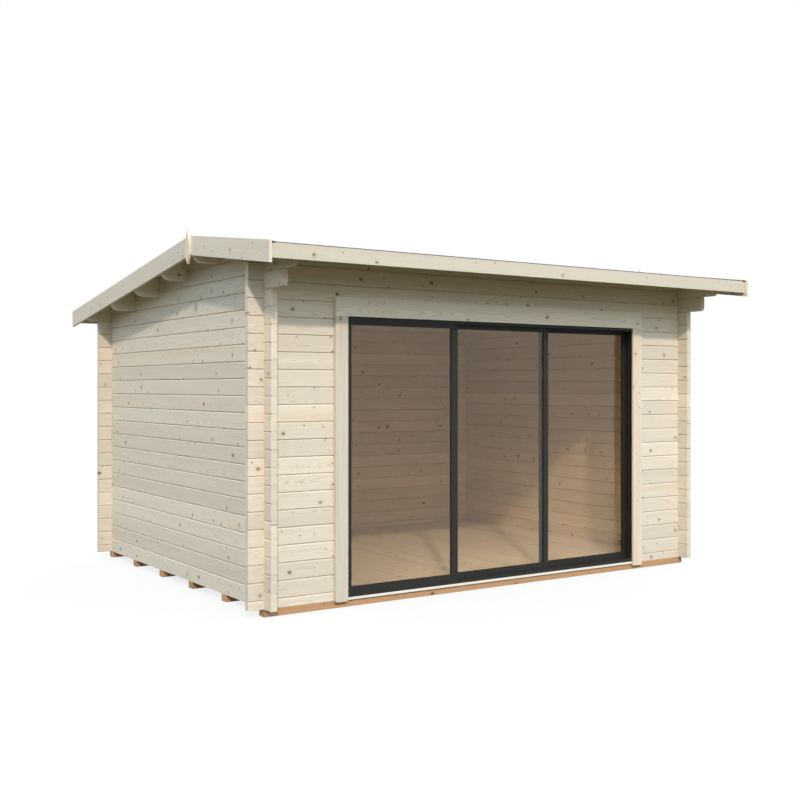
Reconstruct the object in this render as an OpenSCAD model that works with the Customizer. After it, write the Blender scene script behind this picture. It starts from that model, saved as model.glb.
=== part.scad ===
// Log garden house with an off-centre low saddle roof and a three-leaf
// sliding glass door. Millimetres. X runs along the front, Y into the
// depth, Z up. The origin is at ground level, in the middle of the plan.

/* [Walls] */
// Width over the outer faces of the side walls
wall_w = 3900; // [3600:10:4400]
// Depth over the outer faces of the front and back walls
wall_d = 2990; // [2700:10:3400]
// Thickness of a wall log
wall_t = 44; // [34:1:58]
// Covering height of a wall log
log_h = 114; // [112:1:115]
// Length by which front and back log ends stand past the side walls
log_ext = 112; // [80:1:130]
// Length by which side log ends stand past the front and back walls
gable_ext = 100; // [80:5:130]
// Height of the large chamfer on a log's top edge
groove_low = 8; // [4:1:14]
// Height of the small chamfer on a log's bottom edge
groove_up = 1; // [1:1:6]
// Depth of the groove between two logs
groove_deep = 7; // [2:1:8]

/* [Floor] */
// Height of the floor joists
joist_h = 52; // [40:1:70]
// Width of a floor joist
joist_w = 70; // [45:5:90]
// Number of floor joists
joist_n = 6; // [4:1:8]
// Thickness of the floor boards and the door sill board
floor_t = 19; // [16:1:28]

/* [Roof] */
// Height of the roof boards' underside at the ridge, above the joists
ridge_h = 2432; // [2425:1:2440]
// Distance of the ridge from the front wall's outer face
ridge_y = 690; // [660:5:720]
// Fall of both roof slopes, as height over length
slope = 0.137; // [0.13:0.001:0.142]
// Upright thickness of the roof boards
board_up = 19; // [16:1:22]
// Upright thickness of the roofing felt
felt_up = 4; // [3:1:5]
// Distance from the front wall to the front fascia's outer face
eave_front = 490; // [400:10:550]
// Distance from the back wall to the back fascia's outer face
eave_back = 340; // [250:10:400]
// Distance from a side wall to the barge boards' inner faces
verge = 200; // [150:10:260]
// Thickness of fascia and barge boards and of the diamond boards
trim_t = 20; // [16:1:24]
// Height of the fascia boards
fascia_h = 95; // [80:5:110]
// Upright height of the barge boards
barge_h = 135; // [120:5:150]
// Height of the barge boards' top edge above the roof boards' underside
barge_lip = 30; // [26:1:34]
// Height of a purlin
purlin_h = 148; // [120:2:160]
// Width and height of the diamond board at each end of the ridge
finial = [70, 238];

/* [Door] */
// Width of the door frame
door_w = 2708; // [2400:2:2800]
// Distance from the building's centre to the door frame's centre
door_mid = 17; // [-40:1:40]
// Height of the door frame's top edge above the joists
door_top = 1901; // [1850:1:1930]
// Height of the sill board's top under the door frame, above the joists
sill_top = 12; // [6:1:19]
// Distance between two tracks of the door frame
track = 37; // [36:1:40]
// Thickness of a sliding leaf
leaf_t = 24; // [20:1:25]
// Visible width of the door frame's lips
lip_w = 21; // [18:1:28]
// Length by which a closed leaf stands inside a jamb
engage = 10; // [6:1:10]
// Width of a leaf's outer stile
stile_out = 28; // [22:1:32]
// Width of the stiles where two leaves meet
stile_meet = 43; // [34:1:46]
// Lap of two neighbouring leaves with the middle one in the middle
lap = 25; // [22:1:40]
// Distance from the door's centre to the middle leaf at rest
middle_rest = 20; // [0:1:20]
// Thickness of the trim boards round the door
door_trim_t = 28; // [20:1:34]
// Width of the trim boards round the door
door_trim_w = 97; // [80:1:110]
// Length by which the right trim board covers the door frame
trim_cover = 20; // [0:1:20]
// Height of the header board over the door
header_h = 130; // [100:1:140]

/* [Hidden] */
$fn = 48;

// Main lines of the plan, with y = 0 at the front wall's outer face
half_w = wall_w / 2;
verge_x = half_w + verge;
front_y = -eave_front - trim_t;
back_y = wall_d + eave_back + trim_t;
mid_y = (front_y + back_y) / 2;
half_log = log_h / 2;
high = 3000;
eps = 1;

// Rows of logs: where the full wall starts over the door, the top rows
// of the front and back walls, and the lower row of the consoles that
// carry the front eave
over_row = 17;
front_top_row = 19;
back_top_row = 17;
console_row = 18;
console_1 = 245;
console_2 = 380;
console_r = 36;
plate_r = 24;

// Purlins: front faces on the back slope, and the round of their ends
purlin_t = 44;
purlin_pitch = 560;
purlin_y = [for (i = [0:3]) i == 0 ? ridge_y - purlin_t / 2 : ridge_y + i * purlin_pitch];
purlin_r = 70;

// Door frame: a comb of lips on a base, with one channel for each leaf
gap = 5;
lip_t = track - leaf_t - 2 * gap;
base_t = 5;
frame_y = -10;
frame_d = 3 * track + lip_t;
door_left = door_mid - door_w / 2;
door_right = door_mid + door_w / 2;
sill_h = 22;
leaf_x = door_w / 2 - lip_w + engage;
leaf_w = (2 * leaf_x + 2 * lap) / 3;
leaf_z = sill_top + base_t + gap;
leaf_top = door_top - base_t - gap;
rail_bottom = 55;
rail_top = 42;
glass_t = 8;

// Trim boards: inner edges, and the heights of their lower ends
trim_left_x = door_left;
trim_right_x = door_right - trim_cover;
trim_left_z = -11;
trim_right_z = -21;

// Diamond boards: top above the roof boards' underside, and both points
finial_rise = 73;
finial_point_up = 101;
finial_point_down = 66;

function roof_under(y) = ridge_h - abs(y - ridge_y) * slope;
function seam(row) = half_log + row * log_h;
function arc(cx, cy, r, a0, a1, n = 8) =
  [for (i = [0:n]) let (a = a0 + (a1 - a0) * i / n) [cx + r * cos(a), cy + r * sin(a)]];

// Raises a shape from the joists' top to its place in the row frame
module place() translate([0, -mid_y, joist_h]) children();

// Grooves along one face of a stack of logs, between its first and last seams
module grooves(first, last) {
  for (z = [first : log_h : last])
    polygon([[-eps, z - groove_low - groove_low * eps / groove_deep],
             [groove_deep, z],
             [-eps, z + groove_up + groove_up * eps / groove_deep]]);
}

// Cross-section of a log wall: thickness along x, height along y
module stack_section(first, last = high) {
  difference() {
    square([wall_t, high]);
    grooves(first, last);
    translate([wall_t, 0]) mirror([1, 0]) grooves(first, last);
  }
}

// Outline under the roof boards, depth along x, height along y
module under_roof() {
  polygon([[front_y, -joist_h], [back_y, -joist_h], [back_y, roof_under(back_y)],
           [ridge_y, ridge_h], [front_y, roof_under(front_y)]]);
}

// A shape drawn in depth and height, standing between two x values
module across(x0, x1) {
  translate([x0, 0, 0]) rotate([90, 0, 90]) linear_extrude(x1 - x0) children();
}

// A shape drawn in width and height, standing between two y values
module along(y0, y1) {
  translate([0, y1, 0]) rotate([90, 0, 0]) linear_extrude(y1 - y0) children();
}

// Openings that let the side logs' cores through a front or back wall,
// up to the top log, which runs over the gable walls
module side_cores(y0, top_row) {
  for (side = [-1, 1], z = [half_log / 2 : log_h : seam(top_row)])
    translate([side > 0 ? half_w - wall_t : -half_w, y0 - eps, z])
      cube([wall_t, wall_t + 2 * eps, half_log]);
}

// Openings that let the front and back logs' cores through a side wall
module end_cores(x0) {
  for (y = [0, wall_d - wall_t], z = [-half_log / 2 : log_h : high])
    translate([x0 - eps, y, z]) cube([wall_t + 2 * eps, wall_t, half_log]);
}

// A length of the front or back wall, whose top log starts at seam top_row
module long_wall(y0, x0, x1, z0, z1, top_row) {
  intersection() {
    across(x0, x1) translate([y0, 0]) stack_section(half_log, seam(top_row) + eps);
    translate([x0, y0 - eps, z0]) cube([x1 - x0, wall_t + 2 * eps, z1 - z0]);
  }
}

// The wall's top log, run out to carry the roof at both verges
module plate_log(y0, row) {
  z0 = seam(row);
  intersection() {
    along(y0, y0 + wall_t)
      polygon(concat(arc(-verge_x + plate_r, z0 + plate_r, plate_r, 180, 270),
                     arc(verge_x - plate_r, z0 + plate_r, plate_r, 270, 360),
                     [[verge_x, high], [-verge_x, high]]));
    long_wall(y0, -verge_x, verge_x, z0, high, row);
  }
}

// Side outline of a gable wall, with its consoles under the front eave
module gable_outline() {
  console_z = console_row * log_h;
  polygon(concat(
    [[-gable_ext, 0], [wall_d + gable_ext, 0], [wall_d + gable_ext, high],
     [-console_2, high]],
    arc(-console_2 + console_r, console_z + log_h + console_r, console_r, 180, 270),
    [[-console_1, console_z + log_h]],
    arc(-console_1 + console_r, console_z + console_r, console_r, 180, 270),
    [[-gable_ext, console_z]]));
}

// A gable wall whose outer face is at x = 0 and whose logs go towards +x
module gable_wall() {
  difference() {
    intersection() {
      translate([0, back_y, 0]) rotate([90, 0, 0])
        linear_extrude(back_y - front_y) stack_section(log_h);
      across(0, wall_t) intersection() { gable_outline(); under_roof(); }
    }
    end_cores(0);
    for (y = purlin_y)
      translate([-eps, y, roof_under(y) - purlin_h]) cube([wall_t + 2 * eps, purlin_t, high]);
    plate_slot(0, front_top_row);
    plate_slot(wall_d - wall_t, back_top_row);
  }
}

// Room for a top log where it crosses a gable wall
module plate_slot(y0, row) {
  translate([-eps, y0, seam(row) + half_log / 2]) cube([wall_t + 2 * eps, wall_t, high]);
}

// A purlin with rounded lower ends and its top cut to the roof slope
module purlin(i) {
  y0 = purlin_y[i];
  z0 = roof_under(y0) - purlin_h;
  intersection() {
    along(y0, y0 + purlin_t)
      polygon(concat(arc(-verge_x + purlin_r, z0 + purlin_r, purlin_r, 180, 270),
                     arc(verge_x - purlin_r, z0 + purlin_r, purlin_r, 270, 360),
                     [[verge_x, high], [-verge_x, high]]));
    across(-verge_x, verge_x) under_roof();
  }
}

// A layer of one roof slope between two depths
module slope_layer(y0, y1, low, up, x1) {
  across(-x1, x1)
    polygon([[y0, roof_under(y0) + low], [y1, roof_under(y1) + low],
             [y1, roof_under(y1) + low + up], [y0, roof_under(y0) + low + up]]);
}

// A barge board between two depths, on the side given by its sign
module barge(y0, y1, side) {
  x0 = side > 0 ? verge_x : -verge_x - trim_t;
  across(x0, x0 + trim_t)
    polygon([[y0, roof_under(y0) + barge_lip - barge_h],
             [y1, roof_under(y1) + barge_lip - barge_h],
             [y1, roof_under(y1) + barge_lip], [y0, roof_under(y0) + barge_lip]]);
}

// The comb-shaped section of a door frame member, from its base outwards
module comb(reach) {
  square([frame_d, base_t]);
  for (i = [0:3]) translate([i * track, 0]) square([lip_t, reach]);
}

// A floor joist; the front one is rebated for the door's sill board
module joist(i) {
  step = (wall_d - joist_w) / (joist_n - 1);
  color("peru") place() difference() {
    translate([-half_w, i * step, -joist_h]) cube([wall_w, joist_w, joist_h]);
    if (i == 0)
      translate([door_left, -eps, sill_top - floor_t])
        cube([door_w, joist_w + 2 * eps, floor_t]);
  }
}

module floor_boards() {
  color("burlywood") place() linear_extrude(floor_t)
    difference() {
      translate([-half_w + wall_t, wall_t]) square([wall_w - 2 * wall_t, wall_d - 2 * wall_t]);
      translate([door_left, 0]) square([door_w, frame_y + frame_d]);
    }
}

module door_sill_board() {
  color("wheat") place()
    translate([door_left, frame_y, sill_top - floor_t]) cube([door_w, frame_d, floor_t]);
}

// The part of the front wall beside the door, on the side given by its sign
module front_wall_side(side) {
  x_out = half_w + log_ext;
  color("wheat") place() difference() {
    long_wall(0, side > 0 ? door_right : -x_out, side > 0 ? x_out : door_left, 0,
              seam(over_row), front_top_row);
    side_cores(0, front_top_row);
  }
}

module front_wall_top() {
  color("wheat") place() difference() {
    intersection() {
      union() {
        long_wall(0, -half_w - log_ext, half_w + log_ext, seam(over_row), high, front_top_row);
        long_wall(0, door_left, door_right, door_top, seam(over_row), front_top_row);
        plate_log(0, front_top_row);
      }
      across(-verge_x, verge_x) under_roof();
    }
    side_cores(0, front_top_row);
  }
}

module back_wall() {
  color("wheat") place() difference() {
    intersection() {
      union() {
        long_wall(wall_d - wall_t, -half_w - log_ext, half_w + log_ext, 0, high, back_top_row);
        plate_log(wall_d - wall_t, back_top_row);
      }
      across(-verge_x, verge_x) under_roof();
    }
    side_cores(wall_d - wall_t, back_top_row);
  }
}

module left_wall() color("wheat") place() translate([-half_w, 0, 0]) gable_wall();

module right_wall() color("wheat") place() translate([half_w - wall_t, 0, 0]) gable_wall();

module roof_purlin(i) color("burlywood") place() purlin(i);

module front_roof_boards()
  color("wheat") place() slope_layer(-eave_front + trim_t, ridge_y, 0, board_up, verge_x);

module back_roof_boards()
  color("wheat") place() slope_layer(ridge_y, wall_d + eave_back - trim_t, 0, board_up, verge_x);

module front_roofing()
  color("dimgray") place() slope_layer(-eave_front, ridge_y, board_up, felt_up, verge_x);

module back_roofing()
  color("dimgray") place() slope_layer(ridge_y, wall_d + eave_back, board_up, felt_up, verge_x);

// A fascia board whose outer face is at y, on the side given by its sign
module fascia(y, side) {
  z1 = roof_under(y) + board_up;
  color("wheat") place()
    translate([-verge_x, side > 0 ? y - trim_t : y, z1 - fascia_h])
      cube([2 * verge_x, trim_t, fascia_h]);
}

module front_barge(side) color("wheat") place() barge(front_y, ridge_y, side);

module back_barge(side) color("wheat") place() barge(ridge_y, back_y, side);

// The pointed board that covers the joint of two barge boards
module ridge_diamond(side) {
  x0 = side > 0 ? verge_x + trim_t : -verge_x - 2 * trim_t;
  top = ridge_h + finial_rise;
  low = top - finial[1];
  color("wheat") place() across(x0, x0 + trim_t)
    polygon([[ridge_y, top], [ridge_y + finial[0] / 2, top - finial_point_up],
             [ridge_y + finial[0] / 2, low + finial_point_down], [ridge_y, low],
             [ridge_y - finial[0] / 2, low + finial_point_down],
             [ridge_y - finial[0] / 2, top - finial_point_up]]);
}

module door_head()
  color("darkslategray") place() translate([0, frame_y, door_top]) mirror([0, 0, 1])
    across(door_left, door_right) comb(lip_w);

module door_track()
  color("darkslategray") place() translate([0, frame_y, sill_top])
    across(door_left, door_right) comb(sill_h);

// A jamb of the door frame, on the side given by its sign
module door_jamb(side) {
  z0 = sill_top + sill_h;
  color("darkslategray") place() translate([side > 0 ? door_right : door_left, frame_y, z0])
    linear_extrude(door_top - lip_w - z0)
      rotate(90) mirror([0, side > 0 ? 0 : 1]) comb(lip_w);
}

function leaf_left(i) =
  door_mid - leaf_x + i * (leaf_w - lap) + (i == 1 ? middle_rest : 0);
function leaf_mid_y(i) = frame_y + lip_t + gap + leaf_t / 2 + i * track;

// The frame of a sliding leaf, i counting from the left
module leaf_frame(i) {
  left = i == 0 ? stile_out : stile_meet;
  right = i == 2 ? stile_out : stile_meet;
  color("darkslategray") place()
    translate([leaf_left(i), leaf_mid_y(i) - leaf_t / 2, leaf_z]) difference() {
      cube([leaf_w, leaf_t, leaf_top - leaf_z]);
      translate([left, -eps, rail_bottom])
        cube([leaf_w - left - right, leaf_t + 2 * eps, leaf_top - leaf_z - rail_bottom - rail_top]);
    }
}

// The glass pane of a sliding leaf, i counting from the left
module leaf_glass(i) {
  left = i == 0 ? stile_out : stile_meet;
  right = i == 2 ? stile_out : stile_meet;
  color("tan", 0.5) place()
    translate([leaf_left(i) + left, leaf_mid_y(i) - glass_t / 2, leaf_z + rail_bottom])
      cube([leaf_w - left - right, glass_t, leaf_top - leaf_z - rail_bottom - rail_top]);
}

// A trim board beside the door, on the side given by its sign. The right one
// is rebated at the back, where it covers the edge of the door frame.
module door_trim(side) {
  low = side > 0 ? trim_right_z : trim_left_z;
  color("wheat") place() difference() {
    translate([side > 0 ? trim_right_x : trim_left_x - door_trim_w, -door_trim_t, low])
      cube([door_trim_w, door_trim_t, door_top - low]);
    if (side > 0)
      translate([trim_right_x - eps, frame_y, low - eps])
        cube([trim_cover + eps, door_trim_t, door_top - low + 2 * eps]);
  }
}

module header_board() {
  x0 = trim_left_x - door_trim_w;
  x1 = trim_right_x + door_trim_w;
  color("wheat") place()
    translate([x0, -door_trim_t, door_top]) cube([x1 - x0, door_trim_t, header_h]);
}

joist(0);  // joist_1
joist(1);  // joist_2
joist(2);  // joist_3
joist(3);  // joist_4
joist(4);  // joist_5
joist(5);  // joist_6
floor_boards();
door_sill_board();
front_wall_side(-1);  // front_wall_left
front_wall_side(1);  // front_wall_right
front_wall_top();
back_wall();
left_wall();
right_wall();
roof_purlin(0);  // ridge_purlin
roof_purlin(1);  // upper_purlin
roof_purlin(2);  // middle_purlin
roof_purlin(3);  // lower_purlin
front_roof_boards();
back_roof_boards();
front_roofing();
back_roofing();
fascia(-eave_front, -1);  // front_fascia
fascia(wall_d + eave_back, 1);  // back_fascia
front_barge(-1);  // front_barge_left
front_barge(1);  // front_barge_right
back_barge(-1);  // back_barge_left
back_barge(1);  // back_barge_right
ridge_diamond(-1);  // ridge_diamond_left
ridge_diamond(1);  // ridge_diamond_right
door_head();
door_track();
door_jamb(-1);  // door_jamb_left
door_jamb(1);  // door_jamb_right
leaf_frame(0);  // leaf_frame_left
leaf_frame(1);  // leaf_frame_middle
leaf_frame(2);  // leaf_frame_right
leaf_glass(0);  // glass_left
leaf_glass(1);  // glass_middle
leaf_glass(2);  // glass_right
door_trim(-1);  // trim_left
door_trim(1);  // trim_right
header_board();
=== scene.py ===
"""The looks of a log garden house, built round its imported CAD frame. Metres, Z up, X along the front."""
import math
import random
from types import SimpleNamespace

import bmesh
import bpy
import numpy as np
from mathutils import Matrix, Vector

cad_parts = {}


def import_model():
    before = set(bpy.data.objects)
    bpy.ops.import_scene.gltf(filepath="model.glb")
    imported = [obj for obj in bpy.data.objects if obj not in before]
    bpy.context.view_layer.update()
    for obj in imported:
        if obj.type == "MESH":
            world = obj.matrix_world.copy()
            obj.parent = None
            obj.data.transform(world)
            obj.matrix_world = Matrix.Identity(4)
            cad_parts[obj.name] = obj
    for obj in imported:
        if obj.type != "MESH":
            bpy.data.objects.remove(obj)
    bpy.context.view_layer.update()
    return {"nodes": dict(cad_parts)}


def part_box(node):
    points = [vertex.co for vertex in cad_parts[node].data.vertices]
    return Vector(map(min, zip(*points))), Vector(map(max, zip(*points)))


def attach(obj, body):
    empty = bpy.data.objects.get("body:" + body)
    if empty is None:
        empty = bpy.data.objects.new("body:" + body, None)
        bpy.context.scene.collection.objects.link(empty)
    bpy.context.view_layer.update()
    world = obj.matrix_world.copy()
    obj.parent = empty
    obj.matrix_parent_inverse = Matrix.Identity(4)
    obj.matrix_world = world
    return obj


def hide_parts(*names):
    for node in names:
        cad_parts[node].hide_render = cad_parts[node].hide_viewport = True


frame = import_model()

X, Y, Z = Vector((1, 0, 0)), Vector((0, 1, 0)), Vector((0, 0, 1))
AXES = {"X": (X, Y, Z), "Y": (Y, X, Z), "Z": (Z, X, Y)}

# ---------------------------------------------------------------- lines of the house, from the frame
WALL_LOW, WALL_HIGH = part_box("left_wall")
FRONT_LOW, FRONT_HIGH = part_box("front_wall_left")
BACK_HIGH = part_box("back_wall")[1]
RIDGE_LOW, RIDGE_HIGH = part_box("ridge_purlin")
LOWER_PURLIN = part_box("lower_purlin")
BOARDS_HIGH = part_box("back_roof_boards")[1]
FELT_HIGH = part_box("back_roofing")[1]
DOOR_LOW, DOOR_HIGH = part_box("door_head")
PURLINS = ("ridge_purlin", "upper_purlin", "middle_purlin", "lower_purlin")

FLOOR_Z = FRONT_LOW.z                # top of the joists, where the walls start
FRONT_Y, BACK_Y = FRONT_LOW.y, BACK_HIGH.y
WALL_T = FRONT_HIGH.y - FRONT_LOW.y
SIDE_X = -WALL_LOW.x                 # outer faces of the gable walls
END_X = -FRONT_LOW.x                 # ends of the front and back logs
GABLE_EXT = WALL_HIGH.y - BACK_Y     # length of the gable logs' ends
DOOR_LEFT, DOOR_RIGHT, DOOR_TOP = DOOR_LOW.x, DOOR_HIGH.x, DOOR_HIGH.z
RIDGE_Y = (RIDGE_LOW.y + RIDGE_HIGH.y) / 2
RIDGE_Z = RIDGE_HIGH.z               # underside of the roof boards at the ridge
VERGE_X = BOARDS_HIGH.x
BOARD_UP = BOARDS_HIGH.z - RIDGE_Z   # upright thickness of the roof boards
FELT_UP = FELT_HIGH.z - BOARDS_HIGH.z
SHEET_UP = FELT_UP * 0.55            # upright thickness of one sheet of felt
SLOPE = (RIDGE_Z - LOWER_PURLIN[1].z) / (LOWER_PURLIN[0].y - RIDGE_Y)

LOG_H = 0.114                        # covering height of a log
HALF_LOG = LOG_H / 2
SEAM = 0.0005                        # play between two logs
# Edges of two logs at a seam, from the face inwards: (depth, height over the seam)
EDGE_BELOW = ((0.0, -0.0074), (0.0068, -0.0004), (0.0102, -0.0003), (0.0108, 0.0))
EDGE_ABOVE = ((0.0, 0.0052), (0.0066, 0.0003), (0.0106, 0.0))
TONGUES = (0.0115, 0.0235)           # where a log's two tongues start in the wall's thickness
TONGUE_W, TONGUE_H = 0.009, 0.007
TONGUE_SLANT, TONGUE_PLAY = 0.001, 0.0006
OVER_ROW = 17                        # the front wall's first whole row over the door
FRONT_TOP_ROW, BACK_TOP_ROW = 19, 17
CONSOLE_ROW = 18                     # the gable walls' row that makes the lower consoles
CONSOLES = (0.245, 0.380)            # reach of the lower and upper consoles past the front wall
CONSOLE_R = 0.036                    # round lower ends of the consoles, the top logs and the purlins
PLATE_R = 0.024
PURLIN_R = 0.070

JOINT_PLAY = 0.0003                  # round a log or purlin where it passes through a wall
HAIR = 0.0002                        # keeps apart two faces that would share a plane
SPARE = 0.01                         # cutting shapes and uncut logs reach too far by one or more of these
BELOW_Z = FLOOR_Z - 0.1              # under everything that is cut
FAR_X = 3                            # past both verges
LOG_EASE, LOG_EASE_ANGLE = 0.0008, 65
BOARD_EASE = 0.0015                  # width of a board's eased edges
BOARD_PITH = 0.05                    # usual distance of the pith from a board's middle


def roof_z(y):
    """Height of the roof boards' underside."""
    return RIDGE_Z - abs(y - RIDGE_Y) * SLOPE


def front_seam(row):
    """Height of the bottom of a row of the front and back walls, which start with half a log."""
    return FLOOR_Z + HALF_LOG + row * LOG_H


def side_seam(row):
    """Height of the bottom of a row of the gable walls."""
    return FLOOR_Z + row * LOG_H


# ---------------------------------------------------------------- meshes
def add_object(name, data):
    """Puts a mesh, lamp or camera in the scene."""
    made = bpy.data.objects.new(name, data)
    bpy.context.scene.collection.objects.link(made)
    return made


class Solids:
    """Collects closed solids, which become one mesh."""

    def __init__(self):
        self.points, self.faces = [], []

    def loft(self, rings):
        """A solid through rings of points, all with the same number of points, closed at both ends."""
        first, n = len(self.points), len(rings[0])
        for ring in rings:
            self.points += [tuple(p) for p in ring]
        for k in range(len(rings) - 1):
            a = first + k * n
            for i in range(n):
                j = (i + 1) % n
                self.faces.append((a + i, a + j, a + n + j, a + n + i))
        self.faces.append(tuple(range(first + n - 1, first - 1, -1)))
        last = first + (len(rings) - 1) * n
        self.faces.append(tuple(range(last, last + n)))

    def prism(self, axis, start, end, outline):
        """A straight solid along an axis. The outline's points are in the two other axes, in their order."""
        along, one, two = AXES[axis]
        self.loft([[along * s + one * a + two * b for a, b in outline] for s in (start, end)])

    def box(self, low, high):
        self.prism("Z", low[2], high[2], rectangle(low[0], high[0], low[1], high[1]))

    def make(self, name):
        mesh = bpy.data.meshes.new(name)
        mesh.from_pydata(self.points, [], self.faces)
        shape = bmesh.new()
        shape.from_mesh(mesh)
        bmesh.ops.recalc_face_normals(shape, faces=shape.faces)
        shape.to_mesh(mesh)
        shape.free()
        return add_object(name, mesh)


def rectangle(a0, a1, b0, b1):
    return [(a0, b0), (a1, b0), (a1, b1), (a0, b1)]


def arc(ca, cb, r, start, end):
    """Points of an arc, with its angles in degrees."""
    steps = 10
    angles = [math.radians(start + (end - start) * i / steps) for i in range(steps + 1)]
    return [(ca + r * math.cos(t), cb + r * math.sin(t)) for t in angles]


def settle(piece):
    """Applies a piece's modifiers."""
    made = piece.evaluated_get(bpy.context.evaluated_depsgraph_get())
    mesh = bpy.data.meshes.new_from_object(made)
    old = piece.data
    piece.modifiers.clear()
    piece.data = mesh
    bpy.data.meshes.remove(old)


def carve(piece, solids, operation="DIFFERENCE"):
    """Cuts solids out of a piece, or keeps only what lies in them."""
    tool = solids.make("tool")
    cut = piece.modifiers.new("cut", "BOOLEAN")
    cut.solver = "EXACT"
    cut.operation = operation
    cut.object = tool
    settle(piece)
    bpy.data.objects.remove(tool)


def round_edges(piece, width, angle=40):
    """Bevels the edges that turn by more than an angle in degrees."""
    bevel = piece.modifiers.new("ease", "BEVEL")
    bevel.width = width
    bevel.segments = 2
    bevel.limit_method = "ANGLE"
    bevel.angle_limit = math.radians(angle)


def ease(piece, width, angle=40):
    """Rounds the sharp edges and applies it."""
    round_edges(piece, width, angle)
    settle(piece)


def islands(mesh):
    """Lists of vertex numbers, one for each solid of a mesh."""
    lead = list(range(len(mesh.vertices)))

    def head(i):
        while lead[i] != i:
            lead[i] = lead[lead[i]]
            i = lead[i]
        return i

    for a, b in mesh.edge_keys:
        lead[head(a)] = head(b)
    groups = {}
    for i in range(len(lead)):
        groups.setdefault(head(i), []).append(i)
    return list(groups.values())


def face_normals(mesh):
    return np.array([face.normal for face in mesh.polygons])


def write_faces(mesh, name, values):
    """Writes a number on each face."""
    layer = mesh.attributes.new(name, "FLOAT", "FACE")
    layer.data.foreach_set("value", values.astype(np.float32))


END_FACE = 0.7                       # a face whose normal goes this far along the grain is an end


def grain(piece, along, across, seed, pith=0.06, tone=None):
    """Cuts each solid of a piece from a tree of its own, and writes where its points lie in it.

    A tree has the pith's place, across and in depth, and a tone, which goes from dark at 0 to pale at 1. A
    tone that is given holds for all the solids, and may lie beyond these. The faces at the ends are marked.
    """
    shift, aside = 40, 0.045         # how far the place may go along the grain, and the pith aside
    nearer, farther = -0.35, 0.6     # parts of pith by which the pith's distance may differ
    mesh = piece.data
    depth = along.cross(across)
    chance = random.Random(seed)
    co = np.empty(len(mesh.vertices) * 3)
    mesh.vertices.foreach_get("co", co)
    co = co.reshape(-1, 3)
    place = np.stack([co @ np.array(v) for v in (along, across, depth)], axis=1)
    tree = np.zeros_like(place)
    groups = islands(mesh)
    groups.sort(key=lambda group: tuple(np.round(place[group].mean(0), 3)))
    for group in groups:
        low, high = place[group].min(0), place[group].max(0)
        place[group] -= (low + high) / 2
        place[group, 0] += chance.uniform(-shift, shift)
        side = chance.choice((-1, 1))
        pith_across = chance.uniform(-aside, aside)
        pith_deep = side * (pith + chance.uniform(nearer, farther) * pith)
        drawn = chance.random()
        tree[group] = (pith_across, pith_deep, drawn if tone is None else tone)
    for name, values in (("grain", place), ("tree", tree)):
        layer = mesh.attributes.new(name, "FLOAT_VECTOR", "POINT")
        layer.data.foreach_set("vector", values.astype(np.float32).ravel())
    write_faces(mesh, "end", np.abs(face_normals(mesh) @ np.array(along)) > END_FACE)


def paint_crack_shade(piece, along, through, centre, reach):
    """Marks the faces in the cracks between two logs, and the undersides in them, with painted shade that
    stands in for the shade falling there. reach is the stack's two ends.
    """
    crack_depth, skin, level = 0.0078, 0.0005, -0.95
    margin = 0.001                   # against rounding at the stack's ends
    mesh = piece.data
    centres = np.array([face.center for face in mesh.polygons])
    normals = face_normals(mesh)
    depth = WALL_T / 2 - np.abs(centres @ np.array(through) - centre)
    place = centres @ np.array(along)
    inside = (depth > crack_depth) | ((normals[:, 2] < level) & (depth > skin))
    inside &= (place > reach[0] - margin) & (place < reach[1] + margin)
    inside &= np.abs(normals @ np.array(along)) < END_FACE
    write_faces(mesh, "painted_shade", inside)


def paint_sill_shadow(piece, outward):
    """Marks the large faces that slope up and outward with painted shadow, which stands in for the sill
    board's shadow on the joist's bevel.
    """
    tilt, large, shadow_share = 0.5, 0.01, 0.6
    mesh = piece.data
    normals = face_normals(mesh)
    areas = np.array([face.area for face in mesh.polygons])
    slope = (normals[:, 2] > tilt) & (normals @ np.array(outward) > tilt) & (areas > large)
    write_faces(mesh, "painted_shade", slope * shadow_share)


def finish_piece(piece, material, body, replaced=()):
    """Gives a piece its material and body, and hides the CAD nodes it stands for."""
    piece.data.materials.clear()
    piece.data.materials.append(material)
    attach(piece, body)
    if replaced:
        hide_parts(*replaced)


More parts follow.
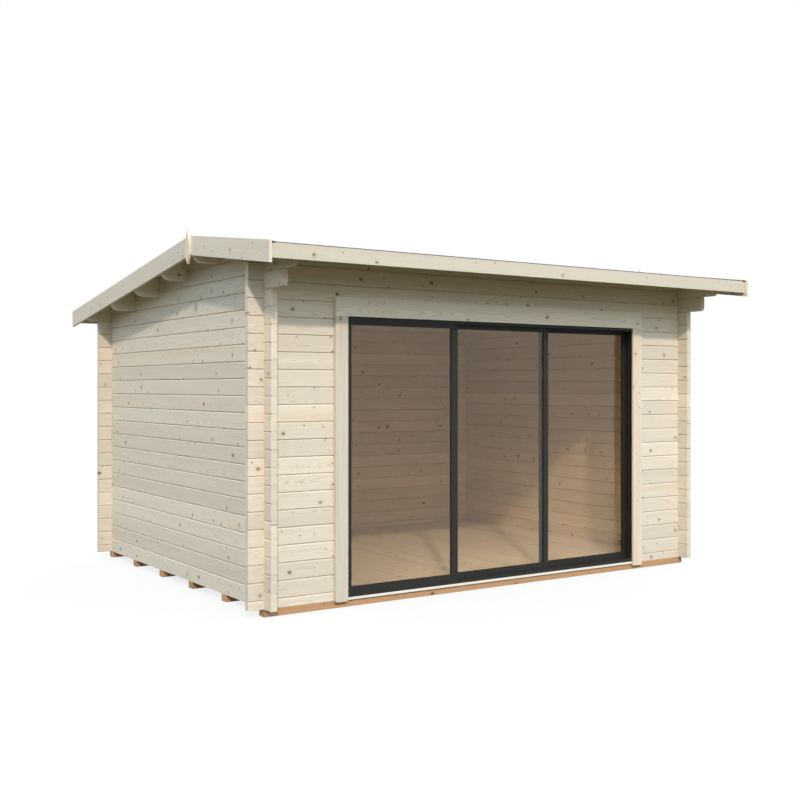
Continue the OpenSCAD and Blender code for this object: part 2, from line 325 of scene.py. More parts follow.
# ---------------------------------------------------------------- shader nodes
class Nodes:
    """Short ways to add and link the nodes of a material or of the world."""

    def __init__(self, owner):
        owner.use_nodes = True
        self.tree = owner.node_tree

    def node(self, kind, inputs=None, **settings):
        made = self.tree.nodes.new("ShaderNode" + kind)
        for key, value in settings.items():
            setattr(made, key, value)
        for key, value in (inputs or {}).items():
            self.put(made.inputs[key], value)
        return made

    def put(self, socket, value):
        if isinstance(value, bpy.types.NodeSocket):
            self.tree.links.new(value, socket)
        elif isinstance(value, tuple) and len(value) == 3 and socket.type == "RGBA":
            socket.default_value = (*value, 1)
        else:
            socket.default_value = value

    def math(self, operation, *values):
        made = self.node("Math", operation=operation)
        for socket, value in zip(made.inputs, values):
            self.put(socket, value)
        return made.outputs[0]

    def times(self, first, *others):
        for other in others:
            first = self.math("MULTIPLY", first, other)
        return first

    def sway(self, noise, amount, centre):
        """A value that sways round its centre with a noise, whose own middle is 0.5."""
        return self.math("MULTIPLY_ADD", self.math("SUBTRACT", noise, 0.5), amount, centre)

    def attribute(self, name):
        return self.node("Attribute", attribute_name=name).outputs

    def split(self, vector):
        return self.node("SeparateXYZ", {"Vector": vector}).outputs

    def join(self, x, y, z):
        return self.node("CombineXYZ", {"X": x, "Y": y, "Z": z}).outputs[0]

    def parts(self, colour):
        """The red, green and blue of a cell's colour, which are its three random numbers."""
        return self.node("SeparateColor", {"Color": colour}).outputs[:3]

    def grey(self, value):
        return self.node("CombineColor", {"Red": value, "Green": value, "Blue": value}).outputs[0]

    def noise(self, vector, scale, detail=2.0, rough=0.5, dimensions="3D"):
        inputs = {"Vector": vector, "Scale": scale, "Detail": detail, "Roughness": rough}
        return self.node("TexNoise", inputs, noise_dimensions=dimensions).outputs[0]

    def cells(self, vector, scale, dimensions="3D"):
        """Random cells: the distance from the nearest cell's point, and its colour."""
        inputs = {"Vector": vector, "Scale": scale}
        return self.node("TexVoronoi", inputs, voronoi_dimensions=dimensions).outputs

    def blend(self, kind, share, a, b):
        made = self.node("Mix", data_type="RGBA", blend_type=kind)
        self.put(made.inputs["Factor"], share)
        self.put(made.inputs[6], a)
        self.put(made.inputs[7], b)
        return made.outputs[2]

    def step(self, value, low, high, out_low=0.0, out_high=1.0):
        """A smooth step from out_low to out_high as value goes from low to high."""
        inputs = {"Value": value, "From Min": low, "From Max": high, "To Min": out_low, "To Max": out_high}
        return self.node("MapRange", inputs, interpolation_type="SMOOTHSTEP").outputs[0]

    def seen(self):
        """1 for what the camera sees, in mirrors and through glass too."""
        rays = self.node("LightPath").outputs
        straight = self.math("MAXIMUM", rays["Is Camera Ray"], rays["Is Glossy Ray"])
        return self.math("MAXIMUM", straight, rays["Is Transmission Ray"])

    def end_in_mix(self, output, share, a, b):
        """Ends the tree in a mix of two shaders."""
        mix = self.node("MixShader", {0: share, 1: a.outputs[0], 2: b.outputs[0]})
        self.put(self.tree.nodes[output].inputs["Surface"], mix.outputs[0])


class Shader(Nodes):
    """A material."""

    def __init__(self, name):
        self.material = bpy.data.materials.new(name)
        super().__init__(self.material)
        self.surface = self.tree.nodes["Principled BSDF"]

    def look(self, socket, value):
        """Sets or links a socket of the surface."""
        self.put(self.surface.inputs[socket], value)

    def bump(self, height, distance, strength):
        inputs = {"Height": height, "Distance": distance, "Strength": strength}
        self.look("Normal", self.node("Bump", inputs).outputs[0])

    def place(self):
        """Place in the piece's own frame, in metres."""
        return self.node("TexCoord").outputs["Object"]


def scaled(colour, factor):
    return tuple(channel * factor for channel in colour)


# ---------------------------------------------------------------- wood
KNOT_CELLS, PIN_CELLS = 8.5, 34.0    # cells a metre, each of which may hold a knot or a pin knot
KNOT_CHANCE, PIN_CHANCE = 0.70, 0.34
KNOT_R, KNOT_MORE = 0.0034, 0.0065   # radius of the smallest knot, and what the largest has more
RING_W, RING_MORE = 0.0026, 0.0016   # width of a growth ring in a dark tree, and what a pale one has more
HALO_SHADE = (0.82, 0.71, 0.58)      # shades multiply the wood's colour
DEAD_SHADE = (0.62, 0.56, 0.51)
END_SHADE = (1.0, 0.98, 0.94)
# painted shade for the faces in the cracks between logs and under the sill board
CRACK_PAINTED_SHADE = (0.42, 0.36, 0.30)
BARK = (0.11, 0.075, 0.05)           # round a dead knot


def wood_place(s):
    """A point's place in its tree, with the tree's pith and tone. board tells apart the boards' noises."""
    along, across, depth = s.split(s.attribute("grain")["Vector"])
    pith_a, pith_d, tone = s.split(s.attribute("tree")["Vector"])
    return SimpleNamespace(along=along, across=across, depth=depth, pith_a=pith_a, pith_d=pith_d, tone=tone,
                           board=s.times(tone, 31.7))


def branch_knots(s, w, knot_l, knot_a):
    """Knots where branches cross the board, in loose whorls along it."""
    cells = s.cells(s.join(knot_l, knot_a, 0.0), KNOT_CELLS, "2D")
    away = s.math("DIVIDE", cells["Distance"], KNOT_CELLS)
    luck, size, dead = s.parts(cells["Color"])
    whorl = s.noise(s.join(w.along, w.board, 0.0), 1.6, detail=1.0, dimensions="2D")
    there = s.math("LESS_THAN", luck, s.times(s.step(whorl, 0.34, 0.58), KNOT_CHANCE))
    radius = s.math("MULTIPLY_ADD", s.math("POWER", size, 2.5), KNOT_MORE, KNOT_R)
    near = s.math("DIVIDE", away, radius)
    core = s.times(s.step(near, 1.12, 0.88), there)
    rim = s.times(s.step(near, 0.62, 0.95), s.step(near, 1.3, 1.05), there)
    halo = s.times(s.step(near, 3.6, 0.8), there)
    return SimpleNamespace(luck=luck, dead=dead, away=away, radius=radius, core=core, rim=rim, halo=halo)


def pin_knots(s, w, knot_l, knot_a):
    """Pin knots, in clusters."""
    cells = s.cells(s.join(s.times(knot_l, 0.9), knot_a, 3.0), PIN_CELLS, "2D")
    luck = s.parts(cells["Color"])[0]
    cluster = s.noise(s.join(w.along, s.times(w.board, 1.7), w.across), 2.4, detail=1.0)
    there = s.math("LESS_THAN", luck, s.times(s.step(cluster, 0.58, 0.72), PIN_CHANCE))
    return s.times(s.step(cells["Distance"], 0.105, 0.065), there)


def growth_rings(s, w, knot):
    """The distance from a pith that wanders along the log, and the late wood of the rings round it."""
    sway_a = s.noise(s.join(w.along, w.board, 0.0), 0.55, detail=1.5, dimensions="2D")
    sway_d = s.noise(s.join(w.along, w.board, 7.3), 1.3)
    ring_a = s.math("SUBTRACT", w.across, s.sway(sway_a, 0.05, w.pith_a))
    ring_d = s.math("SUBTRACT", w.depth, s.sway(sway_d, 0.055, w.pith_d))
    reach = s.math("SQRT", s.math("ADD", s.times(ring_a, ring_a), s.times(ring_d, ring_d)))
    ripple = s.noise(s.join(s.times(w.along, 2.4), s.times(w.across, 14.0), w.board), 1.0, detail=3.0)
    reach = s.math("MULTIPLY_ADD", ripple, 0.010, reach)
    reach = s.math("MULTIPLY_ADD", s.times(knot.halo, knot.radius), 0.9, reach)
    turns = s.math("DIVIDE", reach, s.math("MULTIPLY_ADD", w.tone, RING_MORE, RING_W))
    phase = s.math("FRACT", turns)
    late_wood = s.times(s.step(phase, 0.25, 0.92), s.step(phase, 1.0, 0.94))
    weight = s.noise(s.join(s.times(turns, 0.35), w.board, s.times(w.along, 0.3)), 1.0, detail=1.0)
    return reach, s.times(late_wood, s.step(weight, 0.2, 0.8, 0.35, 1.0))


def knot_colours(s, colour, knot, pin, knot_colour):
    """Lays the knots over the wood's colour."""
    colour = s.blend("MULTIPLY", s.times(knot.halo, 0.55), colour, HALO_SHADE)
    ring = s.math("FRACT", s.times(knot.away, 650.0))
    inside = s.blend("MIX", s.step(ring, 0.3, 0.9), knot_colour, scaled(knot_colour, 1.35))
    inside = s.blend("MULTIPLY", s.step(knot.dead, 0.25, 0.75), inside, DEAD_SHADE)
    colour = s.blend("MIX", s.times(knot.core, s.step(knot.luck, 0.0, 0.4, 0.92, 0.55)), colour, inside)
    colour = s.blend("MIX", s.times(knot.rim, s.step(knot.dead, 0.1, 0.9, 0.10, 0.70)), colour, BARK)
    return s.blend("MIX", s.times(pin, 0.62), colour, scaled(knot_colour, 0.8))


def timber(name, early, late, heart, knot, rings=1.0, rough=0.62, spread=0.10):
    """Softwood: growth rings round each board's own pith, streaks, fibres and knots.

    early, late and knot are colours, and heart is the heartwood's shade. rings is how plain the late wood
    is, and spread how far the boards' tones differ.
    """
    s = Shader(name)
    w = wood_place(s)
    wobble = s.noise(s.join(w.along, w.across, w.depth), 55.0, detail=3.0)
    knot_a = s.math("MULTIPLY_ADD", wobble, 0.010, w.across)
    knot_l = s.math("MULTIPLY_ADD", w.along, 0.78, w.board)
    branch = branch_knots(s, w, knot_l, knot_a)
    pin = pin_knots(s, w, knot_l, knot_a)
    reach, late_wood = growth_rings(s, w, branch)

    fibres = s.join(s.times(w.along, 14.0), s.times(w.across, 620.0), s.times(w.depth, 620.0))
    fine = s.noise(fibres, 1.0, detail=3.0, rough=0.6)
    streaks = s.join(s.times(w.along, 1.1), s.times(w.across, 26.0), w.board)
    broad = s.noise(streaks, 1.0, detail=4.0)

    colour = s.blend("MIX", s.times(late_wood, 0.62 * rings), early, late)
    hearty = s.times(s.step(reach, 0.075, 0.035), s.step(w.tone, 0.3, 0.9))
    hearty = s.math("MAXIMUM", hearty, s.step(broad, 0.55, 0.8, 0.0, 0.45))
    colour = s.blend("MIX", hearty, colour, s.blend("MULTIPLY", 1.0, colour, heart))
    colour = knot_colours(s, colour, branch, pin, knot)
    colour = s.blend("MULTIPLY", s.times(s.attribute("end")["Fac"], 0.5), colour, END_SHADE)
    # painted shade: darkens the faces marked as lying in shade, in the log cracks and under the sill board
    colour = s.blend("MULTIPLY", s.attribute("painted_shade")["Fac"], colour, CRACK_PAINTED_SHADE)
    bright = s.sway(w.tone, spread * 1.6, 1.0)
    bright = s.sway(broad, 0.20, bright)
    bright = s.sway(fine, 0.16, bright)
    s.look("Base Color", s.blend("MULTIPLY", 1.0, colour, s.grey(bright)))
    s.look("Roughness", s.step(late_wood, 0.0, 1.0, rough + 0.06, rough - 0.10))
    s.look("Specular IOR Level", 0.32)
    height = s.math("ADD", s.times(late_wood, 0.45), s.times(fine, 0.55))
    height = s.math("SUBTRACT", height, s.times(branch.rim, 0.8))
    s.bump(height, 0.0004, 0.55)
    return s.material


# ---------------------------------------------------------------- other materials
def coated_aluminium():
    """Powder-coated anthracite, with the coat's fine orange peel."""
    dark, light = (0.0275, 0.0263, 0.0243), (0.0345, 0.0328, 0.0304)
    s = Shader("anthracite_coat")
    place = s.place()
    peel = s.noise(place, 900.0)
    clouds = s.noise(place, 3.0, detail=3.0)
    s.look("Base Color", s.blend("MIX", clouds, dark, light))
    s.look("Roughness", s.step(clouds, 0.3, 0.7, 0.46, 0.56))
    s.look("Specular IOR Level", 0.15)
    s.bump(peel, 0.0002, 0.35)
    return s.material


def rubber():
    dark, light = (0.010, 0.010, 0.010), (0.022, 0.022, 0.022)
    s = Shader("gasket_rubber")
    speckle = s.noise(s.place(), 400.0)
    s.look("Base Color", s.blend("MIX", speckle, dark, light))
    s.look("Roughness", 0.7)
    s.bump(speckle, 0.0001, 0.3)
    return s.material


def bronze_glass():
    """Bronze glass. Lamps reach the room through it by a clear shader of the same tint."""
    tint = (0.69, 0.637, 0.54)
    s = Shader("bronze_glass")
    film = s.noise(s.place(), 2.2, detail=3.0)
    s.look("Base Color", s.blend("MIX", film, tint, scaled(tint, 0.94)))
    s.look("Roughness", 0.0)
    s.look("IOR", 1.5)
    s.look("Transmission Weight", 1.0)
    clear = s.node("BsdfTransparent", {"Color": tuple(math.sqrt(channel) for channel in tint)})
    shadow = s.node("LightPath").outputs["Is Shadow Ray"]
    s.end_in_mix("Material Output", shadow, s.surface, clear)
    return s.material


def mineral_felt():
    """Roofing felt with a dark mineral face."""
    dark, light = (0.050, 0.048, 0.045), (0.150, 0.145, 0.137)
    worn_shade = (0.70, 0.69, 0.68)
    s = Shader("mineral_felt")
    place = s.place()
    grit = s.cells(place, 520.0)
    bright = s.parts(grit["Color"])[0]
    clouds = s.noise(place, 1.7, detail=5.0)
    colour = s.blend("MIX", s.math("POWER", bright, 2.0), dark, light)
    s.look("Base Color", s.blend("MULTIPLY", s.step(clouds, 0.3, 0.75, 0.0, 0.6), colour, worn_shade))
    s.look("Roughness", 0.92)
    s.look("Specular IOR Level", 0.2)
    s.bump(s.math("SUBTRACT", bright, grit["Distance"]), 0.0008, 0.7)
    return s.material


def galvanised():
    dark, light = (0.40, 0.41, 0.42), (0.62, 0.63, 0.64)
    s = Shader("galvanised_steel")
    spangle = s.noise(s.place(), 260.0)
    s.look("Base Color", s.blend("MIX", spangle, dark, light))
    s.look("Metallic", 1.0)
    s.look("Roughness", s.step(spangle, 0.2, 0.8, 0.35, 0.55))
    return s.material


SPRUCE = timber("spruce", early=(0.81, 0.73, 0.615), late=(0.66, 0.535, 0.405),
                heart=(0.97, 0.91, 0.85), knot=(0.33, 0.225, 0.135))
FLOOR_WOOD = timber("spruce_floor", early=(0.89, 0.84, 0.76), late=(0.77, 0.68, 0.57),
                    heart=(0.97, 0.93, 0.88), knot=(0.32, 0.21, 0.12), rings=0.8, rough=0.5, spread=0.08)
# painted shade: a darker, yellower copy of the spruce for the roof boards, whose undersides lie in the eaves'
# shade
SHADED_ROOF_WOOD = timber("spruce_roof_painted_shade", early=(0.74, 0.63, 0.45), late=(0.60, 0.46, 0.30),
                   heart=(0.95, 0.88, 0.80), knot=(0.30, 0.20, 0.11))
JOIST_WOOD = timber("impregnated_pine", early=(0.615, 0.365, 0.195), late=(0.37, 0.197, 0.093),
                    heart=(0.86, 0.78, 0.72), knot=(0.15, 0.07, 0.03), rough=0.7, spread=0.2)
COAT = coated_aluminium()
RUBBER = rubber()
GLASS = bronze_glass()
FELT = mineral_felt()
ZINC = galvanised()


# ---------------------------------------------------------------- log walls
def log_section(face, z0, z1, lowest=False, topmost=False):
    """Section of a log between its bottom and its top: (place in the wall's thickness, height).

    face is the place of one face of the wall. The lowest log has a flat bottom, and the topmost a flat top.
    """
    t = WALL_T
    low = z0 + (0 if lowest else SEAM / 2)
    high = z1 - (0 if topmost else SEAM / 2)
    inner_w = TONGUE_W - TONGUE_SLANT
    play = TONGUE_PLAY
    feet = [(0, low), (t, low)]
    if not lowest:
        feet = [(d, low + h) for d, h in EDGE_ABOVE]
        for start in TONGUES:
            feet += [(start - play, low), (start + TONGUE_SLANT - play, low + TONGUE_H + play),
                     (start + inner_w + play, low + TONGUE_H + play), (start + TONGUE_W + play, low)]
        feet += [(t - d, low + h) for d, h in reversed(EDGE_ABOVE)]
    head = [(t, high), (0, high)]
    if not topmost:
        head = [(t - d, high + h) for d, h in EDGE_BELOW]
        for start in reversed(TONGUES):
            head += [(start + TONGUE_W, high), (start + inner_w, high + TONGUE_H),
                     (start + TONGUE_SLANT, high + TONGUE_H), (start, high)]
        head += [(d, high + h) for d, h in reversed(EDGE_BELOW)]
    return [(face + a, b) for a, b in feet + head]


def long_logs(y0, top_row, top_z, doorway):
    """The logs of the front or back wall, before the top ones get their final shape."""
    logs = Solids()
    for row in range(-1, top_row + 1):
        z0 = FLOOR_Z if row < 0 else front_seam(row)
        z1 = top_z if row == top_row else front_seam(row + 1)
        section = log_section(y0, z0, z1, lowest=row < 0, topmost=row == top_row)
        end = END_X if row < top_row else VERGE_X + 2 * SPARE
        if doorway and row < OVER_ROW - 1:
            logs.prism("X", -end, DOOR_LEFT, section)
            logs.prism("X", DOOR_RIGHT, end, section)
        else:
            logs.prism("X", -end, end, section)
    return logs


def side_cores(y0, top_row):
    """Where the gable walls' logs pass through the front or back wall."""
    play = JOINT_PLAY
    cores = Solids()
    for side in (-1, 1):
        x0, x1 = sorted((side * SIDE_X, side * (SIDE_X - WALL_T)))
        for row in range(top_row + 1):
            z = front_seam(row) - HALF_LOG / 2
            cores.box((x0 - play, y0 - SPARE, z - play),
                      (x1 + play, y0 + WALL_T + SPARE, z + HALF_LOG + play))
    return cores


def cut_under_roof(piece, x0=-FAR_X, x1=FAR_X):
    """Cuts a piece off at the underside of the roof boards."""
    front, back = FRONT_Y - 0.6, BACK_Y + 0.5     # past the eaves
    room = Solids()
    room.prism("X", x0, x1, [(front, BELOW_Z), (back, BELOW_Z), (back, roof_z(back)), (RIDGE_Y, RIDGE_Z),
                             (front, roof_z(front))])
    carve(piece, room, "INTERSECT")


def plate_outline(row):
    """The front or back wall's outline: (width, height), with the top log's round lower ends."""
    z0 = front_seam(row) - HAIR
    wide = END_X + 5 * SPARE
    return ([(-wide, BELOW_Z), (wide, BELOW_Z), (wide, z0)]
            + arc(VERGE_X - PLATE_R, z0 + PLATE_R, PLATE_R, 270, 360)
            + [(VERGE_X, RIDGE_Z), (-VERGE_X, RIDGE_Z)]
            + arc(-VERGE_X + PLATE_R, z0 + PLATE_R, PLATE_R, 180, 270)
            + [(-wide, z0)])


def long_wall(name, y0, top_row, seed, replaced, doorway=False):
    """The front or back wall, whose logs start with half a log."""
    top_z = max(roof_z(y0), roof_z(y0 + WALL_T)) + SPARE
    wall = long_logs(y0, top_row, top_z, doorway).make(name)
    outline = Solids()
    outline.prism("Y", y0 - 2 * SPARE, y0 + WALL_T + 2 * SPARE, plate_outline(top_row))
    carve(wall, outline, "INTERSECT")
    cut_under_roof(wall)
    carve(wall, side_cores(y0, top_row))
    if doorway:
        low = FLOOR_Z + 1.0          # the logs round this height are in two parts already
        opening = Solids()
        opening.box((DOOR_LEFT, y0 - 2 * SPARE, low), (DOOR_RIGHT, y0 + WALL_T + 2 * SPARE, DOOR_TOP))
        carve(wall, opening)
    ease(wall, LOG_EASE, LOG_EASE_ANGLE)
    grain(wall, X, Z, seed)
    paint_crack_shade(wall, X, Y, y0 + WALL_T / 2, (-END_X, END_X))
    finish_piece(wall, SPRUCE, "house", replaced)


def gable_outline():
    """The gable wall's outline: (depth, height), with the consoles' round ends and a notch between them."""
    notch_w, notch_h = 0.002, 0.001
    top = RIDGE_Z + 0.2
    z = side_seam(CONSOLE_ROW) - HAIR
    upper = z + LOG_H
    near, far = (FRONT_Y - reach for reach in CONSOLES)
    wide = GABLE_EXT + 5 * SPARE
    return ([(FRONT_Y - wide, BELOW_Z), (BACK_Y + wide, BELOW_Z), (BACK_Y + wide, top), (far, top)]
            + arc(far + CONSOLE_R, upper + CONSOLE_R, CONSOLE_R, 180, 270)
            + [(near - notch_w, upper), (near - notch_w, upper + notch_h), (near, upper + notch_h)]
            + arc(near + CONSOLE_R, z + CONSOLE_R, CONSOLE_R, 180, 270)
            + [(FRONT_Y - wide, z)])


def gable_slots(x0):
    """Where the front and back walls' logs and the purlins pass through a gable wall."""
    least_wood = 0.008               # what a log keeps under a purlin, or the slot goes down to the seam
    play = JOINT_PLAY
    left, right = x0 - SPARE, x0 + WALL_T + SPARE
    above = RIDGE_Z + 0.1
    slots = Solids()
    for y0, top_row in ((FRONT_Y, FRONT_TOP_ROW), (BACK_Y - WALL_T, BACK_TOP_ROW)):
        near, far = y0 - play, y0 + WALL_T + play
        for row in range(top_row + 1):
            z = side_seam(row) - HALF_LOG / 2
            slots.box((left, near, z - play), (right, far, z + HALF_LOG + play))
        z = front_seam(top_row) + HALF_LOG / 2
        slots.box((left, near, z - play), (right, far, above))
    for node in PURLINS:
        low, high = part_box(node)
        seat = low.z - play
        over_seam = (seat - FLOOR_Z) % LOG_H
        if over_seam < least_wood:
            seat -= over_seam + play
        slots.box((left, low.y - play, seat), (right, high.y + play, above))
    return slots


def gable_wall(name, x0, seed):
    """A gable wall, whose logs start with a full one."""
    logs = Solids()
    rows = math.ceil((RIDGE_Z - FLOOR_Z) / LOG_H)
    for row in range(rows):
        reach = GABLE_EXT if row < CONSOLE_ROW else CONSOLES[min(row - CONSOLE_ROW, 1)] + 2 * SPARE
        section = log_section(x0, side_seam(row), side_seam(row + 1), lowest=row == 0)
        logs.prism("Y", FRONT_Y - reach, BACK_Y + GABLE_EXT, section)
    wall = logs.make(name)
    outline = Solids()
    outline.prism("X", x0 - 2 * SPARE, x0 + WALL_T + 2 * SPARE, gable_outline())
    carve(wall, outline, "INTERSECT")
    cut_under_roof(wall, x0 - 3 * SPARE, x0 + WALL_T + 3 * SPARE)
    carve(wall, gable_slots(x0))
    ease(wall, LOG_EASE, LOG_EASE_ANGLE)
    grain(wall, Y, Z, seed)
    paint_crack_shade(wall, Y, X, x0 + WALL_T / 2, (FRONT_Y - GABLE_EXT, BACK_Y + GABLE_EXT))
    finish_piece(wall, SPRUCE, "house", [name.replace("_logs", "")])


long_wall("front_wall_logs", FRONT_Y, FRONT_TOP_ROW, 11,
          ["front_wall_left", "front_wall_right", "front_wall_top"], doorway=True)
long_wall("back_wall_logs", BACK_Y - WALL_T, BACK_TOP_ROW, 12, ["back_wall"])
gable_wall("left_wall_logs", -SIDE_X, 13)
gable_wall("right_wall_logs", SIDE_X - WALL_T, 14)


# ---------------------------------------------------------------- boards and beams
JOIST_LOOKS = {"material": JOIST_WOOD, "slot": "impregnated_pine", "edge": 0.003, "pith": 0.04}


def finish_timber(piece, node, along, across, seed, material=SPRUCE, slot="spruce",
                  edge=BOARD_EASE, pith=BOARD_PITH, tone=None):
    """Eases a board or beam, gives it its grain and material, and lets it stand for its CAD node."""
    ease(piece, edge)
    grain(piece, along, across, seed, pith, tone)
    finish_piece(piece, material, "house", [node])


def down_slope(y0, y1):
    """The direction from y0 to y1 along the roof."""
    return Vector((0, y1 - y0, roof_z(y1) - roof_z(y0))).normalized()


def purlin(node, seed):
    """A purlin with round lower ends, its top cut to the roof's slope."""
    low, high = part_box(node)
    beam = Solids()
    beam.prism("Y", low.y, high.y, arc(-VERGE_X + PURLIN_R, low.z + PURLIN_R, PURLIN_R, 180, 270)
               + arc(VERGE_X - PURLIN_R, low.z + PURLIN_R, PURLIN_R, 270, 360)
               + [(VERGE_X, high.z), (-VERGE_X, high.z)])
    piece = beam.make(node + "_beam")
    cut_under_roof(piece)
    finish_timber(piece, node, X, Z, seed, edge=0.002, pith=0.06)


def roof_boards(node, y0, y1, seed):
    """Tongued boards that run down the slope, with a V joint on the underside."""
    usual_width, joint, gap = 0.088, 0.0035, 0.0003
    count = round(2 * VERGE_X / usual_width)
    width = 2 * VERGE_X / count
    boards = Solids()
    for i in range(count):
        x0, x1 = -VERGE_X + i * width + gap, -VERGE_X + (i + 1) * width - gap
        section = [(x0 + joint, 0), (x1 - joint, 0), (x1, joint), (x1, BOARD_UP), (x0, BOARD_UP), (x0, joint)]
        boards.loft([[(x, y, roof_z(y) + up) for x, up in section] for y in (y0, y1)])
    piece = boards.make(node.replace("boards", "tongued_boards"))
    grain(piece, down_slope(y0, y1), X, seed, BOARD_PITH)
    finish_piece(piece, SHADED_ROOF_WOOD, "house", [node])


def barge_board(node, seed):
    """A board along a verge, with ends cut upright."""
    low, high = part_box(node)
    top = high.z - roof_z(RIDGE_Y)
    bottom = low.z - min(roof_z(low.y), roof_z(high.y))
    corners = ((low.y, bottom), (high.y, bottom), (high.y, top), (low.y, top))
    board = Solids()
    board.prism("X", low.x, high.x, [(y, roof_z(y) + up) for y, up in corners])
    down = down_slope(low.y, high.y)
    finish_timber(board.make(node + "_board"), node, down, X.cross(down), seed)


def diamond(node, seed):
    """The pointed board at an end of the ridge."""
    point_up, point_down = 0.101, 0.066
    low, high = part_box(node)
    board = Solids()
    board.prism("X", low.x, high.x, [(RIDGE_Y, high.z), (low.y, high.z - point_up),
                                     (low.y, low.z + point_down), (RIDGE_Y, low.z),
                                     (high.y, low.z + point_down), (high.y, high.z - point_up)])
    finish_timber(board.make(node + "_board"), node, Z, Y, seed)


def plain_board(node, along, across, seed, **looks):
    board = Solids()
    board.box(*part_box(node))
    finish_timber(board.make(node + "_timber"), node, along, across, seed, **looks)


def rebated_trim():
    """The right trim board, rebated at the back over the door frame's edge."""
    low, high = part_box("trim_right")
    rebate = DOOR_LOW.y
    board = Solids()
    board.prism("Z", low.z, high.z, [(low.x, low.y), (high.x, low.y), (high.x, high.y),
                                     (DOOR_RIGHT, high.y), (DOOR_RIGHT, rebate), (low.x, rebate)])
    finish_timber(board.make("trim_right_timber"), "trim_right", Z, X, 71)


def rebated_joist():
    """The front joist, rebated for the door's sill board and bevelled in front of it, with the sill board's
    shadow painted on the bevel.
    """
    bevel_tall, bevel_deep, over = 0.0105, 0.012, 0.001
    low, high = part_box("joist_1")
    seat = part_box("door_sill_board")[0].z
    beam = Solids()
    beam.prism("Y", low.y, high.y, [(low.x, low.z), (high.x, low.z), (high.x, high.z),
                                    (DOOR_RIGHT, high.z), (DOOR_RIGHT, seat),
                                    (DOOR_LEFT, seat), (DOOR_LEFT, high.z), (low.x, high.z)])
    piece = beam.make("joist_1_timber")
    bevel = Solids()
    bevel.prism("X", DOOR_LEFT, DOOR_RIGHT, [(low.y - over, seat - bevel_tall),
                                             (low.y + bevel_deep, seat + over),
                                             (low.y - over, seat + over)])
    carve(piece, bevel)
    finish_timber(piece, "joist_1", X, Z, 81, **JOIST_LOOKS)
    # painted shadow of the sill board on the bevel
    paint_sill_shadow(piece, -Y)


for number, node in enumerate(PURLINS):
    purlin(node, 20 + number)
roof_boards("front_roof_boards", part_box("front_roof_boards")[0].y, RIDGE_Y, 31)
roof_boards("back_roof_boards", RIDGE_Y, BOARDS_HIGH.y, 32)
for number, corner in enumerate(("front_barge_left", "front_barge_right", "back_barge_left",
                                 "back_barge_right")):
    barge_board(corner, 40 + number)
for number, node in enumerate(("ridge_diamond_left", "ridge_diamond_right")):
    diamond(node, 50 + number)
# the header board's tone of 1.4 is painted light: it makes the board paler than any tree, lifting it in the
# eave's shade
for node, seed, tone in (("front_fascia", 166, -0.65), ("back_fascia", 61, None), ("header_board", 183, 1.4)):
    plain_board(node, X, Z, seed, tone=tone)
plain_board("trim_left", Z, X, 174, tone=-0.25)
plain_board("door_sill_board", X, Y, 75, material=FLOOR_WOOD, slot="floor_wood")
for number in range(2, 7):
    plain_board(f"joist_{number}", X, Z, 80 + number, **JOIST_LOOKS)
rebated_trim()
rebated_joist()


# ---------------------------------------------------------------- felt
SHEET, LAP = 1.0, 0.1                # width of a sheet of felt down the slope, and of its lap
LAP_GAP = 0.0004
FOLD_T = 0.0022                      # thickness of the ridge strip and the turned edges


def roof_layer(y, z, thick):
    """The four points of a layer from verge to verge."""
    return [(-VERGE_X, y, z), (VERGE_X, y, z), (VERGE_X, y, z + thick), (-VERGE_X, y, z + thick)]


def lap_lift(number):
    """How much higher a sheet's lower edge lies for the sheet under it. The first lies on the boards."""
    return SHEET_UP + LAP_GAP if number else 0.0


def felt_sheets(node, y_edge):
    """Felt in sheets along the eave, each lapped over the one below it.

    Returns how far from the ridge their lower edges lie, from the eave up.
    """
    ramp = 0.03                      # length over which a lapped sheet comes down
    direction = 1 if y_edge > RIDGE_Y else -1
    run = abs(y_edge - RIDGE_Y)
    count = math.ceil((run - LAP) / (SHEET - LAP))
    starts = [run - k * (SHEET - LAP) for k in range(count)]
    felt = Solids()
    for k, start in enumerate(starts):
        stations = (start, start - LAP, start - LAP - ramp, max(0.0, start - SHEET))
        rings = []
        for s, up in zip(stations, (lap_lift(k), lap_lift(k), 0.0, 0.0)):
            y = RIDGE_Y + direction * s
            rings.append(roof_layer(y, roof_z(y) + BOARD_UP + HAIR + up, SHEET_UP))
        felt.loft(rings)
    finish_piece(felt.make(node + "_sheets"), FELT, "house", [node])
    return starts


def turned_edges(felt):
    """Felt that is turned down over the fascias."""
    hang = 0.001                     # how far it reaches below the boards' top
    for laps, way in ((front_laps, -1), (back_laps, 1)):
        y = RIDGE_Y + way * laps[0]
        z = roof_z(y) + BOARD_UP
        y0, y1 = sorted((y, y + way * FOLD_T))
        felt.box((-VERGE_X, y0, z - hang), (VERGE_X, y1, z + SHEET_UP))


def folded_corners(felt):
    """Felt that is folded over the corners at the front."""
    layer = 0.003                    # thickness of the folded felt
    fold_w, fold_out = 0.030, 0.0065
    tuck_low, tuck_high = 0.018, 0.014
    y = RIDGE_Y - front_laps[0]
    z = roof_z(y) + BOARD_UP
    for side in (-1, 1):
        inner, outer = side * (VERGE_X - fold_w), side * VERGE_X
        felt.prism("Y", y - fold_out, y - FOLD_T, [(inner, z - layer), (outer, z - 2 * layer),
                                                   (outer, z + layer), (inner, z + layer)])
        felt.prism("Y", y - FOLD_T, y + fold_w, [(side * (VERGE_X - tuck_low), z + layer),
                                                 (outer, z + layer), (outer, z + 2 * layer),
                                                 (side * (VERGE_X - tuck_high), z + 2 * layer)])


